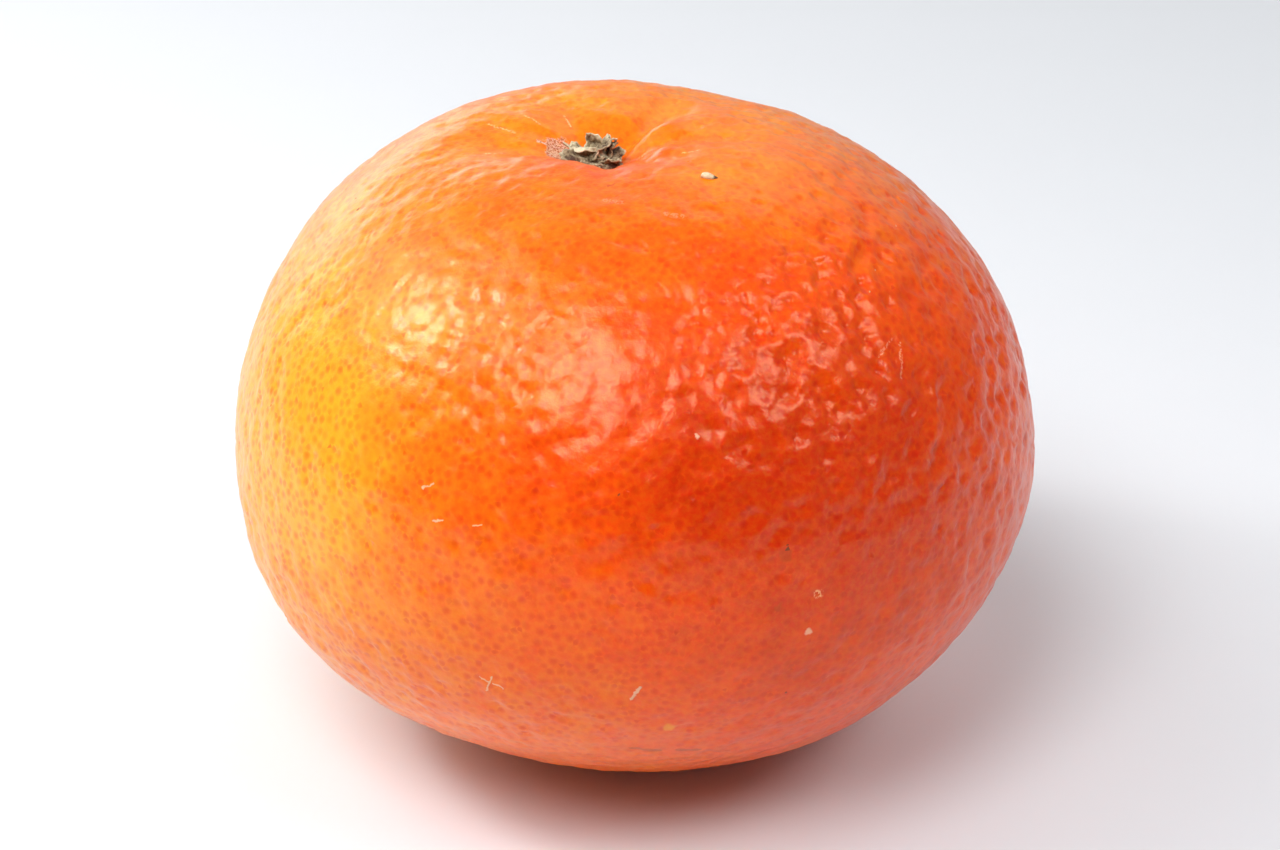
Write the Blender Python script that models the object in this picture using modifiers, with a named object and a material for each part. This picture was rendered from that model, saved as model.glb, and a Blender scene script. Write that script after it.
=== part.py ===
"""A fresh mandarin, resting on the small flat spot at its base, at its real size.

It is three pieces: the fruit, which grew as one body; the dried calyx that sits in the
hollow of its stem end; and the torn stump of the stalk in the middle of the calyx.

Metres, +Z up, -Y is the front. The origin lies on the surface that the fruit rests on, at
the centre of the fruit's outline seen from above. The fruit's own frame has its stem axis
on +Z and its widest level at z = 0, and leans a little before it is set down.
"""

import math

import bmesh
import bpy
import numpy as np
from mathutils import Matrix

MM = 0.001

# The fruit, in its own frame.
EQUATOR_RADIUS = 33.0 * MM
STEM_HALF_HEIGHT = 28.5 * MM
BASE_HALF_HEIGHT = 26.0 * MM
STEM_FULLNESS = 2.12  # exponent of the meridian: 2 is an ellipse, more is squarer
BASE_FULLNESS = 2.0
LEAN = math.radians(-6.0)  # turn about +Y, which tips the stem end towards -X
FLAT_SPOT_DEPTH = 2.1 * MM  # what resting has pressed flat, above the lowest point
FLAT_SPOT_SNAP = 0.12 * MM  # a vertex this near the flat is moved onto it before the cut

# The hollow round the stem: a broad shallow bowl with a narrow pit in its middle.
BOWL_DEPTH = 2.4 * MM
BOWL_SPREAD = math.radians(19.0)
PIT_DEPTH = 1.9 * MM
PIT_SPREAD = math.radians(8.6)
PIT_STEEPNESS = 3.4  # exponent of its bell: 2 is a round bell, more has steeper sides

# Furrows that run outwards from the pit: azimuth, half width and angle from the stem axis
# where they are deepest, in degrees, and depth in mm. A negative depth is a ridge.
FURROWS = (
    (177.0, 16.0, 14.0, 1.0),
    (118.0, 11.0, 14.0, 0.5),
    (52.0, 9.0, 14.0, 1.2),
    (2.0, 9.0, 14.0, 0.7),
    (-45.0, 14.0, 10.0, 0.4),
    (-82.0, 7.0, 9.5, 0.5),
    (-120.0, 18.0, 10.0, -0.35),
)

# Uneven growth: azimuth, elevation and spread in degrees, and height in mm. The last one
# fills out the base, so that what rests on the surface is a broad spot.
SWELLINGS = (
    (8.0, 30.0, 18.0, -0.7),
    (30.0, 55.0, 18.0, -1.3),
    (150.0, 55.0, 18.0, 1.0),
    (175.0, 5.0, 18.0, 0.2),
    (-158.0, -22.0, 18.0, 0.6),
    (-134.0, -44.0, 18.0, -0.7),
    (-46.0, -44.0, 18.0, 0.8),
    (-22.0, -22.0, 18.0, 0.4),
    (95.0, -5.0, 18.0, 0.5),
    (60.0, -35.0, 18.0, -0.4),
    (0.0, -90.0, 14.0, 1.6),
)

# The calyx and the stump stand in the pit.
CLEARANCE = 0.4 * MM  # between two pieces, measured along the stem axis
CALYX_RADIUS = 3.0 * MM
CALYX_THICKNESS = 0.4 * MM
CALYX_LOBES = 5
CALYX_LOBE_LENGTH = 0.17  # share of the radius
CALYX_CURL = 0.5 * MM  # how far the tips of the lobes rise
STUMP_RADIUS = 1.15 * MM
STUMP_HEIGHT = 0.9 * MM
STUMP_RAGGEDNESS = 0.22 * MM

FRUIT_MERIDIANS = 72
FRUIT_RINGS = 44
STEM_CROWDING = 0.35  # crowds the rings towards the hollow, where the shape is busiest
CALYX_SPOKES = 30
CALYX_RINGS = 5
STUMP_SIDES = 20
MERGE_DISTANCE = 0.001 * MM
SMOOTH_BELOW = math.radians(40.0)  # edges with a sharper bend than this stay crisp

PEEL_ORANGE = (0.90, 0.22, 0.02)
CALYX_GREY = (0.36, 0.30, 0.19)
STUMP_TAN = (0.52, 0.44, 0.28)


def unit_from_angles(azimuth_deg, elevation_deg):
    """A unit vector at this azimuth, from +X towards +Y, and this angle above the equator."""
    azimuth, elevation = math.radians(azimuth_deg), math.radians(elevation_deg)
    level = math.cos(elevation)
    return np.array((math.cos(azimuth) * level, math.sin(azimuth) * level, math.sin(elevation)))


def body_radius(down_angle):
    """Distance from the centre to a plain meridian, at an angle from the stem axis."""
    across, along = np.sin(down_angle), np.cos(down_angle)
    upper = along > 0.0
    half_height = np.where(upper, STEM_HALF_HEIGHT, BASE_HALF_HEIGHT)
    fullness = np.where(upper, STEM_FULLNESS, BASE_FULLNESS)
    sum_of_powers = (across / EQUATOR_RADIUS) ** fullness + (np.abs(along) / half_height) ** fullness
    return sum_of_powers ** (-1.0 / fullness)


def fruit_radius(directions):
    """Distance from the centre to the peel along each of these unit vectors."""
    down_angle = np.arccos(np.clip(directions[:, 2], -1.0, 1.0))
    azimuth = np.arctan2(directions[:, 1], directions[:, 0])
    radius = body_radius(down_angle)
    for azimuth_deg, elevation_deg, spread_deg, height_mm in SWELLINGS:
        nearness = directions @ unit_from_angles(azimuth_deg, elevation_deg)
        radius += height_mm * MM * np.exp((nearness - 1.0) / math.radians(spread_deg) ** 2)
    radius -= BOWL_DEPTH * np.exp(-((down_angle / BOWL_SPREAD) ** 2))
    radius -= PIT_DEPTH * np.exp(-((down_angle / PIT_SPREAD) ** PIT_STEEPNESS))
    for azimuth_deg, half_width_deg, middle_deg, depth_mm in FURROWS:
        reach = (down_angle / math.radians(middle_deg)) ** 2
        along_furrow = reach * np.exp(1.0 - reach)
        off_line = azimuth - math.radians(azimuth_deg)
        across_furrow = np.exp((np.cos(off_line) - 1.0) / math.radians(half_width_deg) ** 2)
        radius -= depth_mm * MM * along_furrow * across_furrow
    return radius


def peel_height(x, y):
    """Height of the peel over the point x, y of the fruit's own frame, near the stem."""
    height = STEM_HALF_HEIGHT
    for _ in range(6):
        toward = np.array((x, y, height))
        toward /= np.linalg.norm(toward)
        height = float(fruit_radius(toward[None, :])[0] * toward[2])
    return height


def clear_scene():
    for obj in list(bpy.data.objects):
        bpy.data.objects.remove(obj, do_unlink=True)


def finish(name, colour, roughness):
    """A Principled material with this colour and roughness, and no metal."""
    material = bpy.data.materials.new(name)
    material.use_nodes = True
    shader = material.node_tree.nodes["Principled BSDF"]
    shader.inputs["Base Color"].default_value = (*colour, 1.0)
    shader.inputs["Roughness"].default_value = roughness
    shader.inputs["Metallic"].default_value = 0.0
    return material


def add_object(name, bm, material, collection):
    mesh = bpy.data.meshes.new(name)
    bm.to_mesh(mesh)
    bm.free()
    mesh.shade_smooth()
    mesh.set_sharp_from_angle(angle=SMOOTH_BELOW)
    mesh.materials.append(material)
    obj = bpy.data.objects.new(name, mesh)
    collection.objects.link(obj)
    return obj


def turned(profile, steps):
    """A bmesh made by turning a profile of (radius, height) once round +Z, poles merged."""
    mesh = bpy.data.meshes.new("profile")
    edges = [(index, index + 1) for index in range(len(profile) - 1)]
    mesh.from_pydata([(radius, 0.0, height) for radius, height in profile], edges, [])
    guide = bpy.data.objects.new("profile", mesh)
    bpy.context.scene.collection.objects.link(guide)
    screw = guide.modifiers.new("turn", "SCREW")
    screw.steps = steps
    screw.render_steps = steps
    screw.use_merge_vertices = True
    screw.merge_threshold = MERGE_DISTANCE
    bm = bmesh.new()
    bm.from_object(guide, bpy.context.evaluated_depsgraph_get())
    bpy.data.objects.remove(guide, do_unlink=True)
    bmesh.ops.remove_doubles(bm, verts=bm.verts, dist=MERGE_DISTANCE)
    return bm


def make_fruit(material, collection):
    """The fruit, set down so that its flat spot lies on z = 0. Returns it and its frame."""
    bm = bmesh.new()
    bmesh.ops.create_uvsphere(bm, u_segments=FRUIT_MERIDIANS, v_segments=FRUIT_RINGS, radius=1.0)
    for vert in bm.verts:
        turn = vert.co.z
        down_angle = math.acos(max(-1.0, min(1.0, turn)))
        crowded = down_angle - STEM_CROWDING * math.sin(down_angle)
        azimuth = math.atan2(vert.co.y, vert.co.x)
        level = math.sin(crowded)
        vert.co = (math.cos(azimuth) * level, math.sin(azimuth) * level, math.cos(crowded))
    directions = np.array([vert.co for vert in bm.verts])
    radii = fruit_radius(directions)
    lean = Matrix.Rotation(LEAN, 4, "Y")
    for vert, radius in zip(bm.verts, radii):
        vert.co = lean @ (vert.co * float(radius))

    places = np.array([vert.co for vert in bm.verts])
    low, high = places.min(axis=0), places.max(axis=0)
    middle = (low + high) / 2.0
    set_down = Matrix.Translation((-middle[0], -middle[1], -low[2] - FLAT_SPOT_DEPTH))
    bmesh.ops.transform(bm, matrix=set_down, verts=bm.verts)

    for vert in bm.verts:
        if abs(vert.co.z) < FLAT_SPOT_SNAP:
            vert.co.z = 0.0
    cut = bmesh.ops.bisect_plane(
        bm,
        geom=bm.verts[:] + bm.edges[:] + bm.faces[:],
        plane_co=(0.0, 0.0, 0.0),
        plane_no=(0.0, 0.0, -1.0),
        clear_outer=True,
    )
    rim = [item for item in cut["geom_cut"] if isinstance(item, bmesh.types.BMEdge)]
    bmesh.ops.holes_fill(bm, edges=rim, sides=0)
    bmesh.ops.dissolve_degenerate(bm, edges=bm.edges[:], dist=MERGE_DISTANCE)
    bmesh.ops.recalc_face_normals(bm, faces=bm.faces)
    return add_object("fruit", bm, material, collection), set_down @ lean


def make_calyx(material, collection, stem_end):
    """The dried calyx: a thin five-lobed star that follows the pit, with its tips curled up."""
    profile = [(CALYX_RADIUS * ring / CALYX_RINGS, 0.0) for ring in range(CALYX_RINGS + 1)]
    bm = turned(profile, CALYX_SPOKES)
    pit_floor = peel_height(0.0, 0.0)
    for vert in bm.verts:
        radius = math.hypot(vert.co.x, vert.co.y)
        azimuth = math.atan2(vert.co.y, vert.co.x)
        outward = radius / CALYX_RADIUS
        lobe = math.cos(CALYX_LOBES * azimuth + 0.6)
        stretch = 1.0 + CALYX_LOBE_LENGTH * lobe * outward**2
        x, y = vert.co.x * stretch, vert.co.y * stretch
        curl = CALYX_CURL * outward**3 * (0.65 + 0.35 * lobe)
        vert.co = (x, y, peel_height(x, y) - pit_floor + CLEARANCE + curl)
    bmesh.ops.recalc_face_normals(bm, faces=bm.faces)
    if sum(face.normal.z for face in bm.faces) < 0.0:
        bmesh.ops.reverse_faces(bm, faces=bm.faces)
    calyx = add_object("calyx", bm, material, collection)
    wall = calyx.modifiers.new("wall", "SOLIDIFY")
    wall.thickness = CALYX_THICKNESS
    wall.offset = 1.0
    calyx.parent = stem_end
    return calyx


def make_stump(material, collection, stem_end):
    """The torn end of the stalk: a short round stump with a ragged, hollowed top."""
    foot = 2.0 * CLEARANCE + CALYX_THICKNESS
    top = foot + STUMP_HEIGHT
    profile = (
        (0.0, foot),
        (STUMP_RADIUS * 0.8, foot),
        (STUMP_RADIUS, foot + STUMP_HEIGHT * 0.3),
        (STUMP_RADIUS, foot + STUMP_HEIGHT * 0.75),
        (STUMP_RADIUS * 0.82, top),
        (STUMP_RADIUS * 0.5, top - STUMP_HEIGHT * 0.25),
        (0.0, top - STUMP_HEIGHT * 0.3),
    )
    bm = turned(profile, STUMP_SIDES)
    for vert in bm.verts:
        azimuth = math.atan2(vert.co.y, vert.co.x)
        rise = (vert.co.z - foot) / STUMP_HEIGHT
        torn = math.sin(3.0 * azimuth) + 0.6 * math.sin(7.0 * azimuth + 1.0)
        away = math.hypot(vert.co.x, vert.co.y) / STUMP_RADIUS
        vert.co.z += STUMP_RAGGEDNESS * torn * max(0.0, rise) ** 2 * away
    bmesh.ops.recalc_face_normals(bm, faces=bm.faces)
    stump = add_object("stem_stump", bm, material, collection)
    stump.parent = stem_end
    return stump


def main():
    clear_scene()
    collection = bpy.data.collections.new("mandarin")
    bpy.context.scene.collection.children.link(collection)

    _, fruit_frame = make_fruit(finish("peel", PEEL_ORANGE, 0.38), collection)

    # The floor of the pit, with +Z along the stem axis: the calyx and the stump stand on it.
    stem_end = bpy.data.objects.new("stem_end", None)
    stem_end.matrix_world = fruit_frame @ Matrix.Translation((0.0, 0.0, peel_height(0.0, 0.0)))
    collection.objects.link(stem_end)
    make_calyx(finish("dried_calyx", CALYX_GREY, 0.85), collection, stem_end)
    make_stump(finish("torn_stalk", STUMP_TAN, 0.9), collection, stem_end)


main()
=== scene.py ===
"""The looks of a fresh mandarin: its peel, its dried calyx and stalk, and a plain pale studio.

Everything is in metres, +Z up, and -Y is the front. The fruit's own frame has its stem axis
on +Z and its widest level at z = 0. A direction in it is given by an azimuth, from +X towards
+Y, and an elevation above the widest level, both in degrees.
"""

import itertools
import logging
import math
from collections.abc import Callable
from dataclasses import dataclass
from enum import Enum
from functools import partial

import bmesh
import bpy
import numpy as np
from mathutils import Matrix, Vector


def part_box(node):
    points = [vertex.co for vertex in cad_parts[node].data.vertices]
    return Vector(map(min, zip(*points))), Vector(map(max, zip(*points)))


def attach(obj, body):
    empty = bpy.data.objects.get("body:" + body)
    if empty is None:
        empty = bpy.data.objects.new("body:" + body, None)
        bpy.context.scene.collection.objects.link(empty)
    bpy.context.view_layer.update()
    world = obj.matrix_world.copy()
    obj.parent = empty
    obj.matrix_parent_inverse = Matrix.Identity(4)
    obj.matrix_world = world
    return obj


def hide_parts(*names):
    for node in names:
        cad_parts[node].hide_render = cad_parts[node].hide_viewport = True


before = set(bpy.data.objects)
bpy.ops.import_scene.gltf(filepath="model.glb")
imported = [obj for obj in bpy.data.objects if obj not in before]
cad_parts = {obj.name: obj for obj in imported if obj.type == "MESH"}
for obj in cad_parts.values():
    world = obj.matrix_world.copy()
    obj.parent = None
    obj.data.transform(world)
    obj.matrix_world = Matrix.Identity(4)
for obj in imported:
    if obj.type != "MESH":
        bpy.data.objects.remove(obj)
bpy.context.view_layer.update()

MM = 0.001
BODY = "root"
Array = np.ndarray
Colour = tuple[float, float, float]
log = logging.getLogger("mandarin")


def each(kind: Callable, *rows: tuple) -> tuple:
    """One thing of this kind for each row of its fields."""
    return tuple(kind(*row) for row in rows)


# ---------------------------------------------------------------- shape helpers


def unit(azimuth: float, elevation: float) -> Array:
    """A unit vector at an azimuth and an elevation.

    Args:
        azimuth: degrees from +X towards +Y.
        elevation: degrees above the level plane.

    Returns:
        The vector's three parts.
    """
    turn, rise = math.radians(azimuth), math.radians(elevation)
    level = math.cos(rise)
    return np.array((math.cos(turn) * level, math.sin(turn) * level, math.sin(rise)))


def normalised(vectors: Array) -> Array:
    """The same vectors at length one."""
    return vectors / np.linalg.norm(vectors, axis=-1, keepdims=True)


def smooth_step(low: float, high: float, values: Array) -> Array:
    """0 up to low, 1 from high on, and the cubic 3t^2 - 2t^3 between them."""
    share = np.clip((values - low) / (high - low), 0.0, 1.0)
    return share * share * (3.0 - 2.0 * share)


def spread(first: Array, second: Array) -> list[Array]:
    """Two parameters over a grid, the first along its rows and the second across them."""
    return np.meshgrid(first, second, indexing="ij")


def as_rows(*parts: Array) -> Array:
    """Arrays of one shape as the columns of a table."""
    return np.stack(parts, axis=-1).reshape(-1, len(parts))


def looked_up(table: Array, order: Array, cell: Array) -> Array:
    """The row of a table of 256 that a shuffled order gives to each lattice cell."""
    x, y, z = (cell & 255).T
    return table[order[order[order[x] + y] + z]]


@dataclass(frozen=True)
class LatticeNoise:
    """Smooth random relief: one random slope at each lattice point, blended between them."""

    seed: int

    def at(self, points: Array, wavelength: float) -> Array:
        """The relief at these points.

        Each point takes, from the eight corners of its lattice cell, the corner's random
        slope times the way from that corner, blended with 6t^5 - 15t^4 + 10t^3.

        Args:
            points: places, as rows of three.
            wavelength: the side of a lattice cell, in the units of the points.

        Returns:
            One height for each point, about -1 to 1.
        """
        rng = np.random.default_rng(self.seed)
        slopes = normalised(rng.normal(size=(256, 3)))
        order = np.tile(rng.permutation(256), 2)
        scaled = points / wavelength + rng.uniform(0.0, 64.0, 3)
        cell = np.floor(scaled).astype(np.int64)
        part = scaled - cell
        fade = part**3 * (part * (part * 6.0 - 15.0) + 10.0)
        total = np.zeros(len(points))
        for corner in itertools.product((0, 1), repeat=3):
            slope = looked_up(slopes, order, cell + corner)
            rise = np.einsum("ij,ij->i", slope, part - corner)
            share = np.where(corner, fade, 1.0 - fade).prod(axis=1)
            total += rise * share
        return total * 1.7


@dataclass(frozen=True)
class CellNoise:
    """Random points, one in each lattice cell, and how far away the nearest of them is."""

    seed: int

    def at(self, points: Array, size: float) -> Array:
        """Distance from each place to the nearest random point, in cell sizes.

        The smallest of the distances to the random points of the place's own cell and the
        26 round it.

        Args:
            points: places, as rows of three.
            size: the side of a lattice cell, in the units of the points.

        Returns:
            One distance for each place, from 0 to about 1.
        """
        rng = np.random.default_rng(self.seed)
        spots = rng.uniform(0.1, 0.9, (256, 3))
        order = np.tile(rng.permutation(256), 2)
        scaled = points / size + 32.0
        cell = np.floor(scaled).astype(np.int64)
        nearest = np.full(len(points), 9.0)
        for step in itertools.product((-1, 0, 1), repeat=3):
            near = cell + step
            away = near + looked_up(spots, order, near) - scaled
            nearest = np.minimum(nearest, np.einsum("ij,ij->i", away, away))
        return np.sqrt(nearest)


@dataclass(frozen=True)
class Swelling:
    """A place with more of something, or less of it where its amount is negative.

    The amount is a height in millimetres for a shape, and a share for a tone or for how
    crinkled the skin is. It falls off from its middle as a bell over the sphere of
    directions, whose spread is in degrees.
    """

    azimuth: float
    elevation: float
    amount: float
    spread: float = 18.0


def bells(directions: Array, swellings: tuple[Swelling, ...]) -> Array:
    """The sum of the swellings' bells, each its amount times exp((cos(angle) - 1) / spread^2).

    Args:
        directions: unit vectors in the fruit's own frame, as rows.
        swellings: the swellings to add up.

    Returns:
        One sum for each direction.
    """
    middles = np.stack([unit(item.azimuth, item.elevation) for item in swellings])
    spreads = np.radians([item.spread for item in swellings])
    amounts = np.array([item.amount for item in swellings])
    return np.exp((directions @ middles.T - 1.0) / spreads**2) @ amounts


@dataclass(frozen=True)
class Swirl:
    """A few ring-shaped wrinkles round one place, which fade out with the distance from it."""

    azimuth: float
    elevation: float
    first_mm: float
    apart_mm: float
    height_mm: float
    reach_mm: float

    def relief(self, directions: Array, radius: float) -> Array:
        """Ridges at first_mm and every apart_mm from it, faded by a bell of reach_mm.

        Args:
            directions: unit vectors in the fruit's own frame, as rows.
            radius: the distance from the centre to the skin, in metres.

        Returns:
            One height for each direction, in metres.
        """
        middle = unit(self.azimuth, self.elevation)
        away = np.linalg.norm(directions - middle, axis=1) * radius / MM
        wave = np.cos((away - self.first_mm) * math.tau / self.apart_mm)
        fade = np.exp(-((away / self.reach_mm) ** 4))
        return self.height_mm * MM * wave * fade


@dataclass(frozen=True)
class Furrow:
    """A groove that runs outwards from the pit of the stem, or a ridge if it is negative."""

    azimuth: float
    half_width: float
    depth_mm: float
    middle: float = 14.0


@dataclass(frozen=True)
class FruitForm:
    """The outer shape of the fruit, in its own frame, and its place in the part's frame."""

    equator_radius: float = 33.0 * MM
    stem_half_height: float = 28.5 * MM
    base_half_height: float = 26.0 * MM
    stem_fullness: float = 2.12
    base_fullness: float = 2.0
    lean: float = -6.0
    bowl: tuple[float, float] = (2.4 * MM, 19.0)
    pit: tuple[float, float] = (1.9 * MM, 8.6)
    pit_steepness: float = 3.4
    furrows: tuple[Furrow, ...] = each(
        Furrow,
        (177.0, 16.0, 1.0), (118.0, 11.0, 0.5), (52.0, 9.0, 1.2), (2.0, 9.0, 0.7),
        (-45.0, 14.0, 0.4, 10.0), (-82.0, 7.0, 0.5, 9.5), (-120.0, 18.0, -0.35, 10.0),
    )
    swellings: tuple[Swelling, ...] = each(
        Swelling,
        (8.0, 30.0, -0.7), (30.0, 55.0, -1.3), (150.0, 55.0, 1.0), (175.0, 5.0, 0.2),
        (-158.0, -22.0, 0.6), (-134.0, -44.0, -0.7), (-46.0, -44.0, 0.8),
        (-22.0, -22.0, 0.4), (95.0, -5.0, 0.5), (60.0, -35.0, -0.4),
        (0.0, -90.0, 1.6, 14.0),
    )

    def meridian(self, down_angle: Array) -> Array:
        """Radius of the plain body: a superellipse with its own height above and below.

        Args:
            down_angle: angles from the stem axis, in radians.

        Returns:
            One distance from the centre for each angle, in metres.
        """
        across, along = np.sin(down_angle), np.cos(down_angle)
        upper = along > 0.0
        half_height = np.where(upper, self.stem_half_height, self.base_half_height)
        fullness = np.where(upper, self.stem_fullness, self.base_fullness)
        powers = (across / self.equator_radius) ** fullness
        powers = powers + (np.abs(along) / half_height) ** fullness
        return powers ** (-1.0 / fullness)

    def radius(self, directions: Array) -> Array:
        """Distance from the centre to the skin.

        It is the plain body, plus the swellings, less two bells round the stem axis for the
        bowl and the pit, less a furrow along each of its azimuths.

        Args:
            directions: unit vectors in the fruit's own frame, as rows.

        Returns:
            One distance for each direction, in metres.
        """
        down_angle = np.arccos(np.clip(directions[:, 2], -1.0, 1.0))
        azimuth = np.arctan2(directions[:, 1], directions[:, 0])
        radius = self.meridian(down_angle) + MM * bells(directions, self.swellings)
        for (depth, reach), power in ((self.bowl, 2), (self.pit, self.pit_steepness)):
            radius -= depth * np.exp(-((down_angle / math.radians(reach)) ** power))
        for item in self.furrows:
            reach = (down_angle / math.radians(item.middle)) ** 2
            along = reach * np.exp(1.0 - reach)
            off_line = azimuth - math.radians(item.azimuth)
            across = np.exp((np.cos(off_line) - 1.0) / math.radians(item.half_width) ** 2)
            radius -= item.depth_mm * MM * along * across
        return radius

    def leaned(self, places: Array) -> Array:
        """The places turned about +Y by the lean of the stem axis.

        Args:
            places: places of the fruit's own frame, as rows of three.

        Returns:
            The turned places.
        """
        turn = math.radians(self.lean)
        cosine, sine = math.cos(turn), math.sin(turn)
        matrix = np.array(((cosine, 0.0, sine), (0.0, 1.0, 0.0), (-sine, 0.0, cosine)))
        return places @ matrix.T

    def centre(self) -> Array:
        """Where the own frame's centre stands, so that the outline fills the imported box.

        Returns:
            The place, in the frame of the part.
        """
        turns = np.linspace(-math.pi, math.pi, 241)
        down_angle, azimuth = spread(np.linspace(0.0, math.pi, 121), turns)
        level = np.sin(down_angle)
        directions = as_rows(level * np.cos(azimuth), level * np.sin(azimuth), np.cos(down_angle))
        places = self.leaned(directions * self.radius(directions)[:, None])
        low, high = (np.array(corner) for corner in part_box("fruit"))
        middle = (low + high) / 2.0 - (places.min(axis=0) + places.max(axis=0)) / 2.0
        return np.array((middle[0], middle[1], high[2] - places[:, 2].max()))

    def placed(self, places: Array) -> Array:
        """Places of the fruit's own frame, as places of the part."""
        return self.leaned(places) + self.centre()


# ---------------------------------------------------------------- meshes


def mesh_piece(name: str, vertices: Array, faces: Array) -> bpy.types.Object:
    """A smooth mesh object from arrays.

    Args:
        name: the piece's name.
        vertices: places, as rows of three, in metres.
        faces: corner indices, as rows of three or four.

    Returns:
        The object, linked to the scene.
    """
    mesh = bpy.data.meshes.new(name)
    mesh.from_pydata(vertices, [], faces)
    mesh.shade_smooth()
    piece = bpy.data.objects.new(name, mesh)
    bpy.context.scene.collection.objects.link(piece)
    return piece


def store(mesh: bpy.types.Mesh, name: str, kind: str, domain: str, values: Array) -> None:
    """Adds an attribute to a mesh.

    Args:
        mesh: the mesh.
        name: the attribute's name, which its material reads.
        kind: FLOAT or FLOAT_VECTOR.
        domain: POINT, CORNER or FACE.
        values: one number or one row of three for each point, corner or face.
    """
    attribute = mesh.attributes.new(name, kind, domain)
    key = "value" if kind == "FLOAT" else "vector"
    attribute.data.foreach_set(key, np.ascontiguousarray(values, dtype=np.float32).ravel())


def ring_quads(rings: int, spokes: int) -> tuple[Array, Array]:
    """The quads that join closed rings of points, one ring after the other.

    Args:
        rings: how many rings there are.
        spokes: how many points each has.

    Returns:
        The quads, as rows of four indices, and the indices as a grid with a row for each ring.
    """
    ring = np.arange(rings * spokes).reshape(rings, spokes)
    after = np.roll(ring, -1, axis=1)
    return as_rows(ring[:-1], ring[1:], after[1:], after[:-1]), ring


def capped(quads: Array, rim: Array) -> list[tuple[int, ...]]:
    """The quads, and one face over a rim, as plain lists of corners."""
    return [*map(tuple, quads.tolist()), tuple(rim.tolist())]


def hull(directions: Array) -> tuple[Array, Array]:
    """The convex hull of points on the unit sphere, which joins each to its neighbours.

    Args:
        directions: unit vectors, as rows.

    Returns:
        The points that the hull uses, and its triangles as rows of three indices.
    """
    bm = bmesh.new()
    mesh = bpy.data.meshes.new("hull")
    mesh.from_pydata(directions, [], [])
    bm.from_mesh(mesh)
    bmesh.ops.convex_hull(bm, input=bm.verts)
    bmesh.ops.recalc_face_normals(bm, faces=bm.faces)
    bm.to_mesh(mesh)
    bm.free()
    corners = np.empty(len(mesh.loops), dtype=np.int32)
    mesh.loops.foreach_get("vertex_index", corners)
    places = np.empty(len(mesh.vertices) * 3, dtype=np.float32)
    mesh.vertices.foreach_get("co", places)
    bpy.data.meshes.remove(mesh)
    used, triangles = np.unique(corners, return_inverse=True)
    return places.reshape(-1, 3)[used].astype(float), triangles.reshape(-1, 3)


def joined_pairs(triangles: Array) -> tuple[Array, Array]:
    """The edges of a triangle mesh.

    Args:
        triangles: rows of three indices.

    Returns:
        The edges, as rows of two indices, and for each triangle the numbers of its edges
        from corner 0 to 1, 1 to 2 and 2 to 0.
    """
    sides = np.stack([triangles, np.roll(triangles, -1, axis=1)], axis=-1).reshape(-1, 2)
    edges, number = np.unique(np.sort(sides, axis=1), axis=0, return_inverse=True)
    return edges, number.reshape(-1, 3)


# ---------------------------------------------------------------- materials


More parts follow.
